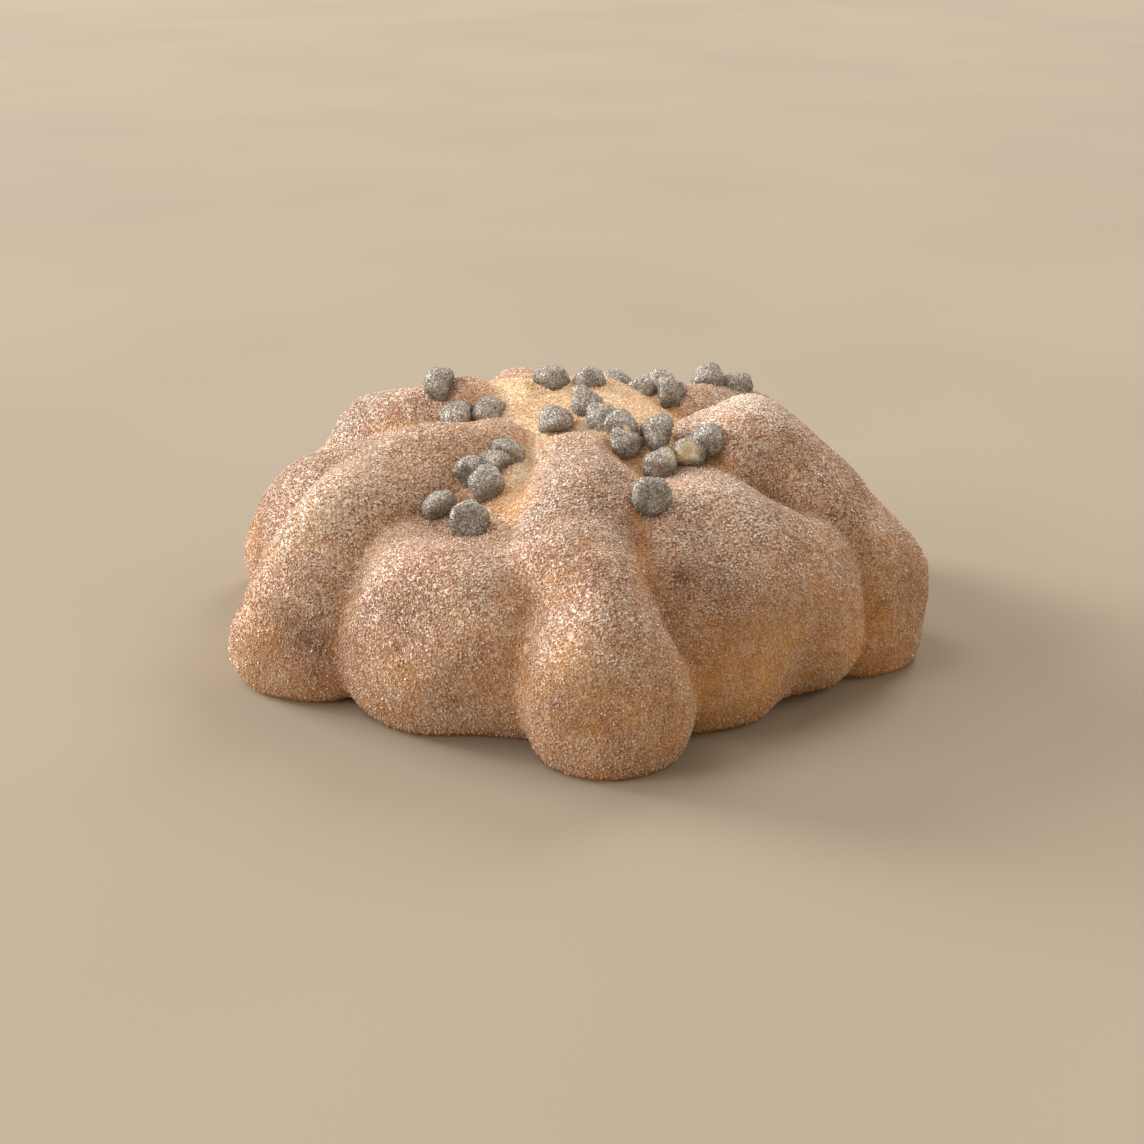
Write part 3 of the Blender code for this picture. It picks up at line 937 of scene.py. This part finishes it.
def crystal_material(look):
    """Sugar crystals on the crust: pale, tinted by the crust that shows through them."""
    material, tree, shader = new_material("Sugar on Crust")
    place = object_place(tree)
    tone = quality(tree, "tone")
    brighter = arithmetic(tree, "POWER", tone, SPARKLE_RARITY)
    brighter = arithmetic(tree, "MULTIPLY", brighter, look.sparkle)
    # The cover whitens the crystals too, partly as painted highlight on the lit places
    white = arithmetic(tree, "ADD", uneven_cover(tree, place, look.patchiness), brighter)
    white = arithmetic(tree, "ADD", white, look.whiteness, clamp=True)
    colour = mixed(tree, white, baked_colour(tree, place), opaque(look.sugar))
    feed(tree, shader, Base_Color=colour, Roughness=CRYSTAL_ROUGHNESS)
    return material


def chocolate_material(look):
    """Matt dark chocolate under fine sugar, with smears of pale dough."""
    material, tree, shader = new_material("Chocolate")
    place = object_place(tree)
    mottle = stepped(tree, noise(tree, place, *MOTTLED_CHOCOLATE), *BLOOM_EDGE)
    colour = mixed(tree, mottle, opaque(look.chocolate), opaque(look.bloom))
    veil = arithmetic(tree, "MULTIPLY", quality(tree, "dusting"), look.veil)
    colour = mixed(tree, veil, colour, opaque(look.dust))
    coat = sugar_coat(tree, place, look.dust_grain, look.dust_cover)
    tone = between(tree, coat.outputs["Tone"], CHIP_TONES)
    shown = arithmetic(tree, "MULTIPLY", coat.outputs["Sugar"], tone)
    shown = arithmetic(tree, "MULTIPLY", shown, quality(tree, "dusting"), clamp=True)
    colour = mixed(tree, shown, colour, opaque(look.dust))
    colour = mixed(tree, quality(tree, "cream"), colour, opaque(look.cream))
    roughness = between(tree, coat.outputs["Sugar"], CHIP_ROUGHNESS)
    feed(tree, shader, Base_Color=colour, Roughness=roughness, Normal=coat.outputs["Normal"])
    return material


def dust_material(look):
    """Sugar crystals on the chocolate, greyed by what shows through them."""
    material, tree, shader = new_material("Sugar on Chocolate")
    white = between(tree, quality(tree, "tone"), DUST_TONES)
    white = arithmetic(tree, "MULTIPLY", white, quality(tree, "dusting"))
    colour = mixed(tree, white, opaque(look.bloom), opaque(look.dust))
    colour = mixed(tree, quality(tree, "cream"), colour, opaque(look.cream))
    feed(tree, shader, Base_Color=colour, Roughness=CRYSTAL_ROUGHNESS)
    return material


def floor_material(look):
    """Matt pale backdrop with the faintest unevenness."""
    material, tree, shader = new_material("Backdrop")
    clouds = noise(tree, object_place(tree), *CLOUDY_FLOOR)
    shade = stepped(tree, clouds, *CLOUD_EDGE, 0.0, CLOUD_DEPTH)
    colour = mixed(tree, shade, opaque(look.floor), BLACK)
    feed(tree, shader, Base_Color=colour, Roughness=FLOOR_ROUGHNESS)
    return material


# The crust


def brown_with_painted_light(points, ball, bones):
    """How brown each point is baked, from its distances outside the ball and the bones, with the
    patches' painted shade and painted highlight added.
    """
    bone = smooth_step(ball - bones, -BONE_EDGE, BONE_EDGE)
    crease = np.exp(-(((ball - bones) / CREASE_REACH) ** 2))
    out = np.hypot(points[:, 0], points[:, 1])
    hollow = (1 - smooth_step(out, *CROWN_HOLLOW)) * (1 - bone)
    crease *= CREASE_PALENESS[0] + CREASE_PALENESS[1] * (1 - smooth_step(out, *CREASE_FADE))
    brown = SIDE_BROWN + TOP_BROWN * smooth_step(points[:, 2], *BROWNING_RISE)
    brown -= crease + HOLLOW_PALENESS * hollow
    brown += patched(points, BROWNING_AND_LIGHT_PATCHES)
    return np.clip(brown, 0, MOST_BROWN)


def sugar_and_highlight_cover(points, facing):
    """The share of the colour at each point of the crust that is sugar's, partly painted highlight
    where the crust faces up and on its lit places.
    """
    cover = LEAST_SUGAR + HIGH_SUGAR * smooth_step(points[:, 2], *SUGAR_RISE)
    cover += UPWARD_SUGAR_AND_HIGHLIGHT * np.clip(facing, 0, 1) ** 2
    cover += patched(points, SUGAR_AND_HIGHLIGHT_PATCHES)
    return np.clip(cover, 0, 1)


def make_crust(step):
    """The dough's fine mesh, cut flat where it rests."""
    points, faces = dough_net(step)
    mesh = bpy.data.meshes.new("crust")
    mesh.from_pydata(points.tolist(), [], faces.tolist())
    coarse = new_object("coarse crust", mesh)
    finer = coarse.modifiers.new("finer", "SUBSURF")
    finer.levels = finer.render_levels = 1
    mesh = evaluated_mesh(coarse)
    remove_object(coarse)
    set_points(mesh, settled(points_of(mesh), step / 2))
    shell = bmesh.new()
    shell.from_mesh(mesh)
    bmesh.ops.bisect_plane(
        shell,
        geom=shell.verts[:] + shell.edges[:] + shell.faces[:],
        plane_co=(0, 0, 0),
        plane_no=(0, 0, 1),
        clear_inner=True,
    )
    for face in shell.faces:
        face.smooth = True
    rim = [edge for edge in shell.edges if edge.is_boundary]
    underside = bmesh.ops.contextual_create(shell, geom=rim)["faces"]
    for edge in rim:
        edge.smooth = False
    for face in underside:
        face.smooth = False
    bmesh.ops.recalc_face_normals(shell, faces=shell.faces)
    shell.to_mesh(mesh)
    shell.free()
    return new_object("crust", mesh)


def add_crust_qualities(mesh):
    """Browning, cover, sugar and clumps, for the materials and for the strewing of sugar."""
    points = points_of(mesh)
    ball, bones = in_batches(ball_and_bones, points)
    # The browning holds one spot of painted shade and one of painted highlight, from the patches
    add_quality(mesh, "browning", brown_with_painted_light(points, ball, bones))
    # The cover is partly painted highlight on the upward faces and lit places
    add_quality(mesh, "cover", sugar_and_highlight_cover(points, upwards(mesh)))
    add_quality(mesh, "sugar", smooth_step(points[:, 2], *SUGAR_FOOT))
    clumps = patched(points, CLUMP_PATCHES)
    add_quality(mesh, "clumps", np.clip(clumps, 0, 1))


def middle_shift(points):
    """What brings the crust's box to the middle of the loaf's box in the frame."""
    middle = (points.min(axis=0) + points.max(axis=0)) / 2
    target = (np.array(LOAF_LOW) + np.array(LOAF_HIGH)) / 2
    return np.array([target[0] - middle[0], target[1] - middle[1], 0.0])


# Sugar


def strewn_sugar():
    """Node tree: crystals strewn over a surface, each with its own turn, size and tone."""
    tree = bpy.data.node_groups.new("Strewn Sugar", "GeometryNodeTree")
    for label, kind in (
        ("Surface", "Geometry"),
        ("Smallest", "Float"),
        ("Largest", "Float"),
        ("Spacing", "Float"),
        ("Per Area", "Float"),
        ("Where", "String"),
        ("Lift", "Float"),
        ("Seed", "Int"),
        ("Sides", "Int"),
        ("Material", "Material"),
    ):
        new_socket(tree, label, "INPUT", kind)
    new_socket(tree, "Crystals", "OUTPUT", "Geometry")
    given, result = add_node(tree, "NodeGroupInput").outputs, add_node(tree, "NodeGroupOutput")
    where = add_node(tree, "GeometryNodeInputNamedAttribute", data_type="FLOAT")
    feed(tree, where, Name=given["Where"])
    strewn = add_node(tree, "GeometryNodeDistributePointsOnFaces", distribute_method="POISSON")
    feed(tree, strewn, Mesh=given["Surface"], Seed=given["Seed"], Distance_Min=given["Spacing"])
    feed(tree, strewn, Density_Max=given["Per Area"])
    feed(tree, strewn, Density_Factor=socket(where.outputs, "Attribute"))
    raised = vector_sum(tree, "SCALE", strewn.outputs["Normal"], given["Lift"])
    moved = add_node(tree, "GeometryNodeSetPosition")
    feed(tree, moved, Geometry=strewn.outputs["Points"], Offset=raised)
    tone = add_node(tree, "FunctionNodeRandomValue", data_type="FLOAT")
    feed(tree, tone, Seed=given["Seed"])
    toned = add_node(tree, "GeometryNodeStoreNamedAttribute", data_type="FLOAT", domain="POINT")
    feed(tree, toned, Geometry=moved.outputs["Geometry"], Name="tone")
    feed(tree, toned, Value=socket(tone.outputs, "Value"))
    crystal = add_node(tree, "GeometryNodeMeshUVSphere")
    feed(tree, crystal, Segments=given["Sides"], Rings=CRYSTAL_RINGS, Radius=CRYSTAL_RADIUS)
    turn = add_node(tree, "FunctionNodeRandomValue", data_type="FLOAT_VECTOR")
    feed(tree, turn, Min=(0, 0, 0), Max=(2 * math.pi,) * 3, Seed=given["Seed"])
    scale = add_node(tree, "ShaderNodeCombineXYZ")
    for offset, axis in enumerate("XYZ", start=1):
        size = add_node(tree, "FunctionNodeRandomValue", data_type="FLOAT")
        seed = arithmetic(tree, "ADD", given["Seed"], offset)
        feed(tree, size, Min=given["Smallest"], Max=given["Largest"], Seed=seed)
        feed(tree, scale, **{axis: socket(size.outputs, "Value")})
    placed = add_node(tree, "GeometryNodeInstanceOnPoints")
    feed(tree, placed, Points=toned.outputs["Geometry"], Instance=crystal.outputs["Mesh"])
    feed(tree, placed, Rotation=socket(turn.outputs, "Value"), Scale=scale.outputs["Vector"])
    real = add_node(tree, "GeometryNodeRealizeInstances")
    feed(tree, real, Geometry=placed.outputs["Instances"])
    flat = add_node(tree, "GeometryNodeSetShadeSmooth")
    feed(tree, flat, Geometry=real.outputs["Geometry"], Shade_Smooth=False)
    finished = add_node(tree, "GeometryNodeSetMaterial")
    feed(tree, finished, Geometry=flat.outputs["Geometry"], Material=given["Material"])
    tree.links.new(finished.outputs["Geometry"], result.inputs["Crystals"])
    return tree


def strew(name, grain, tree, material):
    """Strews one kind of crystal over its surface, as one plain mesh piece."""
    holder = new_object("strewing", bpy.data.objects[grain.surface].data.copy())
    modifier = holder.modifiers.new("strew", "NODES")
    modifier.node_group = tree
    values = {
        "Smallest": grain.smallest,
        "Largest": grain.largest,
        "Spacing": grain.spacing,
        "Per Area": grain.per_area,
        "Where": grain.quality,
        "Lift": grain.lift,
        "Seed": grain.seed,
        "Sides": grain.sides,
        "Material": material,
    }
    for item in tree.interface.items_tree:
        if item.item_type == "SOCKET" and item.in_out == "INPUT" and item.name in values:
            modifier[item.identifier] = values[item.name]
    mesh = evaluated_mesh(holder)
    remove_object(holder)
    mesh.name = name
    mount(new_object(name, mesh))


# Chips


def add_chip(builder, chip, draw):
    """Adds one drop, lathed about its own axis, dented, leant over and set down on the dough."""
    size = draw.uniform(*CHIP_SIZES)
    seed = int(draw.integers(1, MOST_DENT_SEED))
    points = []
    for radius, height in CHIP_PROFILE:
        for index in range(CHIP_SEGMENTS):
            turn = 2 * math.pi * index / CHIP_SEGMENTS
            points.append((radius * math.cos(turn), radius * math.sin(turn), height))
    points += [(0, 0, CHIP_BASE), (0, 0, CHIP_TIP)]
    points = np.array(points) * size
    dents = waves(points, seed, CHIP_DENT_WAVES, CHIP_DENT_LENGTHS) * CHIP_DENT_DEPTH
    points += points / np.linalg.norm(points, axis=1)[:, None] * dents[:, None]
    x, y, _ = direction_of(chip.azimuth) * chip.out
    place = Matrix.Translation((x, y, top_of_dough(x, y) + chip.rest))
    side = Vector(direction_of(chip.heading + 90))
    place = place @ Matrix.Rotation(math.radians(chip.lean), 4, side)
    corners = [builder.verts.new(place @ Vector(point)) for point in points]
    rings = [corners[at : at + CHIP_SEGMENTS] for at in range(0, len(corners) - 2, CHIP_SEGMENTS)]
    base, tip = corners[-2:]
    for index in range(CHIP_SEGMENTS):
        after = (index + 1) % CHIP_SEGMENTS
        builder.faces.new((base, rings[0][after], rings[0][index]))
        builder.faces.new((tip, rings[-1][index], rings[-1][after]))
        for lower, upper in zip(rings, rings[1:]):
            builder.faces.new((lower[index], lower[after], upper[after], upper[index]))


# What a user may change


# The limits and units that settings share
COLOUR = {"subtype": "COLOR", "size": 3, "min": 0, "max": 1}
SHARE = {"min": 0, "max": 1}
AMOUNT = {"min": 0, "max": 2}
SMALL_LENGTH = {"unit": "LENGTH", "precision": 5, "min": 0.0001}


class CrustSettings(bpy.types.PropertyGroup):
    """How fine the crust is and what colours it has."""

    step: FloatProperty(
        name="Net Step",
        description="Size of the cells of the dough's net",
        default=0.0013,
        **SMALL_LENGTH,
    )
    pale: FloatVectorProperty(
        name="Pale Dough",
        description="Dough in the creases and hollows",
        default=(0.88, 0.64, 0.34),
        **COLOUR,
    )
    gold: FloatVectorProperty(
        name="Golden Crust", description="Lightly baked crust", default=(0.80, 0.42, 0.13), **COLOUR
    )
    brown: FloatVectorProperty(
        name="Brown Crust", description="Well baked crust", default=(0.44, 0.19, 0.072), **COLOUR
    )
    dark: FloatVectorProperty(
        name="Dark Crust",
        description="The most baked spots",
        default=(0.16, 0.055, 0.025),
        **COLOUR,
    )
    mottling: FloatProperty(
        name="Mottling", description="How uneven the browning is", default=0.7, **AMOUNT
    )
    sugar: FloatVectorProperty(
        name="Sugar", description="The crystals' own colour", default=(0.90, 0.81, 0.70), **COLOUR
    )
    whiteness: FloatProperty(
        name="Whiteness",
        description="How much whiter the loose crystals are than the coat",
        default=0.05,
        **SHARE,
    )
    sparkle: FloatProperty(
        name="Sparkle",
        description="How much whiter the whitest crystals are than the others",
        default=0.50,
        **SHARE,
    )
    patchiness: FloatProperty(
        name="Patchiness", description="How unevenly the sugar sticks", default=0.5, **AMOUNT
    )
    coat_grain: FloatProperty(
        name="Coat Grain",
        description="Size of the finest crystals, drawn on the crust",
        default=0.00036,
        **SMALL_LENGTH,
    )
    coat_cover: FloatProperty(
        name="Coat Cover", description="Share of the crust that they cover", default=0.90, **SHARE
    )
    # Painted shade: how much darker the crust is drawn between the crystals, where they shade it
    painted_gap_shade: FloatProperty(
        name="Painted Gap Shade",
        description="How much darker the crust is between crystals",
        default=0.22,
        **SHARE,
    )


class ChipSettings(bpy.types.PropertyGroup):
    """The chips' colours and their dusting."""

    chocolate: FloatVectorProperty(
        name="Chocolate", description="Dark chocolate", default=(0.035, 0.024, 0.019), **COLOUR
    )
    bloom: FloatVectorProperty(
        name="Bloom", description="Greyed chocolate", default=(0.085, 0.066, 0.054), **COLOUR
    )
    dust: FloatVectorProperty(
        name="Dust", description="Sugar on the chips", default=(0.88, 0.82, 0.74), **COLOUR
    )
    cream: FloatVectorProperty(
        name="Cream",
        description="Pale dough smeared over a chip",
        default=(0.80, 0.70, 0.50),
        **COLOUR,
    )
    dust_grain: FloatProperty(
        name="Dust Grain",
        description="Size of the finest crystals on the chips",
        default=0.00025,
        **SMALL_LENGTH,
    )
    veil: FloatProperty(
        name="Veil",
        description="How much the finest sugar whitens the chips",
        default=0.18,
        **SHARE,
    )
    dust_cover: FloatProperty(
        name="Dust Cover", description="Share of a chip that they cover", default=0.85, **SHARE
    )


class StageSettings(bpy.types.PropertyGroup):
    """The floor, the lights and the camera."""

    floor: FloatVectorProperty(
        name="Floor", description="Colour of the floor", default=(0.365, 0.303, 0.228), **COLOUR
    )
    key: FloatProperty(
        name="Key Light", description="Power of the main light", default=620.0, unit="POWER", min=0
    )
    sky: FloatProperty(
        name="Surroundings", description="Strength of the light from all round", default=0.43, min=0
    )


# One operator for each piece or group of pieces


class LOAF_OT_crust(bpy.types.Operator):
    """Shapes and bakes the crust"""

    bl_idname = "loaf.crust"
    bl_label = "Bake the Crust"

    def execute(self, context):
        look = context.scene.loaf_crust
        build_baked_colour(look)
        build_sugar_coat()
        build_uneven_cover()
        crust = make_crust(look.step)
        add_crust_qualities(crust.data)
        points = points_of(crust.data)
        shift = middle_shift(points)
        context.scene["loaf_shift"] = list(shift)
        set_points(crust.data, points + shift)
        crust.data.materials.append(crust_material(look))
        mount(crust)
        return {"FINISHED"}


class LOAF_OT_chips(bpy.types.Operator):
    """Sets the chocolate chips in the hollows"""

    bl_idname = "loaf.chips"
    bl_label = "Set the Chips"

    def execute(self, context):
        draw = np.random.default_rng(CHIP_SEED)
        builder = bmesh.new()
        for chip in CHIPS:
            add_chip(builder, chip, draw)
        builder.transform(Matrix.Translation(context.scene["loaf_shift"]))
        for face in builder.faces:
            face.smooth = True
        mesh = bpy.data.meshes.new("chips")
        builder.to_mesh(mesh)
        builder.free()
        chips = new_object("chips", mesh)
        mesh.materials.append(chocolate_material(context.scene.loaf_chips))
        places = points_of(mesh) - context.scene["loaf_shift"]
        dusting = DUSTING[0] + DUSTING[1] * smooth_step(upwards(mesh), *DUSTED_TURN)
        dusting += patched(places, DUST_PATCHES)
        add_quality(mesh, "dusting", np.clip(dusting, 0, 1))
        cream = patched(places, CREAM_PATCHES)
        add_quality(mesh, "cream", smooth_step(cream, *CREAM_EDGE))
        mount(chips)
        return {"FINISHED"}


class LOAF_OT_sugar(bpy.types.Operator):
    """Strews sugar over the crust and the chips"""

    bl_idname = "loaf.sugar"
    bl_label = "Strew the Sugar"

    def execute(self, context):
        tree = strewn_sugar()
        materials = {
            "crust": crystal_material(context.scene.loaf_crust),
            "chips": dust_material(context.scene.loaf_chips),
        }
        for name, grain in GRAINS.items():
            strew(name, grain, tree, materials[grain.surface])
        return {"FINISHED"}


def add_lamp(name, lamp, key):
    """A soft square light turned towards the loaf."""
    light = bpy.data.lights.new(name, "AREA")
    light.size = LAMP_SIZE
    light.energy = key * lamp.share
    light.color = LAMP_COLOUR
    made = new_object(name, light)
    rise = math.radians(lamp.rise)
    place = Vector(direction_of(lamp.azimuth)) * math.cos(rise) + Vector((0, 0, math.sin(rise)))
    made.location = place * LAMP_DISTANCE
    made.rotation_mode = "QUATERNION"
    made.rotation_quaternion = (-place).to_track_quat("-Z", "Y")


def add_camera():
    """The camera, with its dip and its roll."""
    camera = new_object("camera", bpy.data.cameras.new("camera"))
    camera.data.sensor_width = SENSOR_WIDTH
    camera.data.lens = LENS
    dip, roll = math.radians(CAMERA_DIP), math.radians(CAMERA_ROLL)
    ahead = Vector((0, math.cos(dip), -math.sin(dip)))
    right = Vector((1, 0, 0))
    above = right.cross(ahead)
    across = right * math.cos(roll) + above * math.sin(roll)
    upright = above * math.cos(roll) - right * math.sin(roll)
    camera.location = CAMERA_PLACE
    camera.rotation_mode = "QUATERNION"
    camera.rotation_quaternion = Matrix((across, upright, -ahead)).transposed().to_quaternion()
    return camera


class LOAF_OT_stage(bpy.types.Operator):
    """Adds the floor, the lights, the surroundings and the camera"""

    bl_idname = "loaf.stage"
    bl_label = "Set the Stage"

    def execute(self, context):
        look = context.scene.loaf_stage
        builder = bmesh.new()
        bmesh.ops.create_grid(builder, x_segments=1, y_segments=1, size=FLOOR_REACH)
        mesh = bpy.data.meshes.new("floor")
        builder.to_mesh(mesh)
        builder.free()
        mesh.materials.append(floor_material(look))
        new_object("floor", mesh)
        for name, lamp in LAMPS.items():
            add_lamp(name, lamp, look.key)
        world = bpy.data.worlds.new("surroundings")
        world.use_nodes = True
        background = world.node_tree.nodes["Background"]
        background.inputs["Color"].default_value = opaque(SKY_COLOUR)
        background.inputs["Strength"].default_value = look.sky
        context.scene.world = world
        context.scene.camera = add_camera()
        context.scene.view_settings.view_transform = "Standard"
        return {"FINISHED"}


class LOAF_PT_panel(bpy.types.Panel):
    """Lists the loaf's pieces in the order in which they are made"""

    bl_idname = "LOAF_PT_panel"
    bl_label = "Pan de Muerto"
    bl_space_type = "VIEW_3D"
    bl_region_type = "UI"
    bl_category = "Loaf"

    def draw(self, context):
        for operator in OPERATORS:
            self.layout.operator(operator.bl_idname)
        for name, settings in SETTINGS.items():
            box = self.layout.box()
            for key in settings.__annotations__:
                box.prop(getattr(context.scene, name), key)


SETTINGS = {"loaf_crust": CrustSettings, "loaf_chips": ChipSettings, "loaf_stage": StageSettings}
OPERATORS = (LOAF_OT_crust, LOAF_OT_chips, LOAF_OT_sugar, LOAF_OT_stage)


def register():
    """Makes the settings, the operators and the panel known."""
    for name, settings in SETTINGS.items():
        bpy.utils.register_class(settings)
        setattr(bpy.types.Scene, name, PointerProperty(type=settings))
    for made in (*OPERATORS, LOAF_PT_panel):
        bpy.utils.register_class(made)


def unregister():
    """Takes them away again."""
    for made in (LOAF_PT_panel, *reversed(OPERATORS)):
        bpy.utils.unregister_class(made)
    for name, settings in SETTINGS.items():
        delattr(bpy.types.Scene, name)
        bpy.utils.unregister_class(settings)


def main():
    """Makes every piece."""
    register()
    bpy.ops.loaf.crust()
    bpy.ops.loaf.chips()
    bpy.ops.loaf.sugar()
    bpy.ops.loaf.stage()


if __name__ == "__main__":
    main()
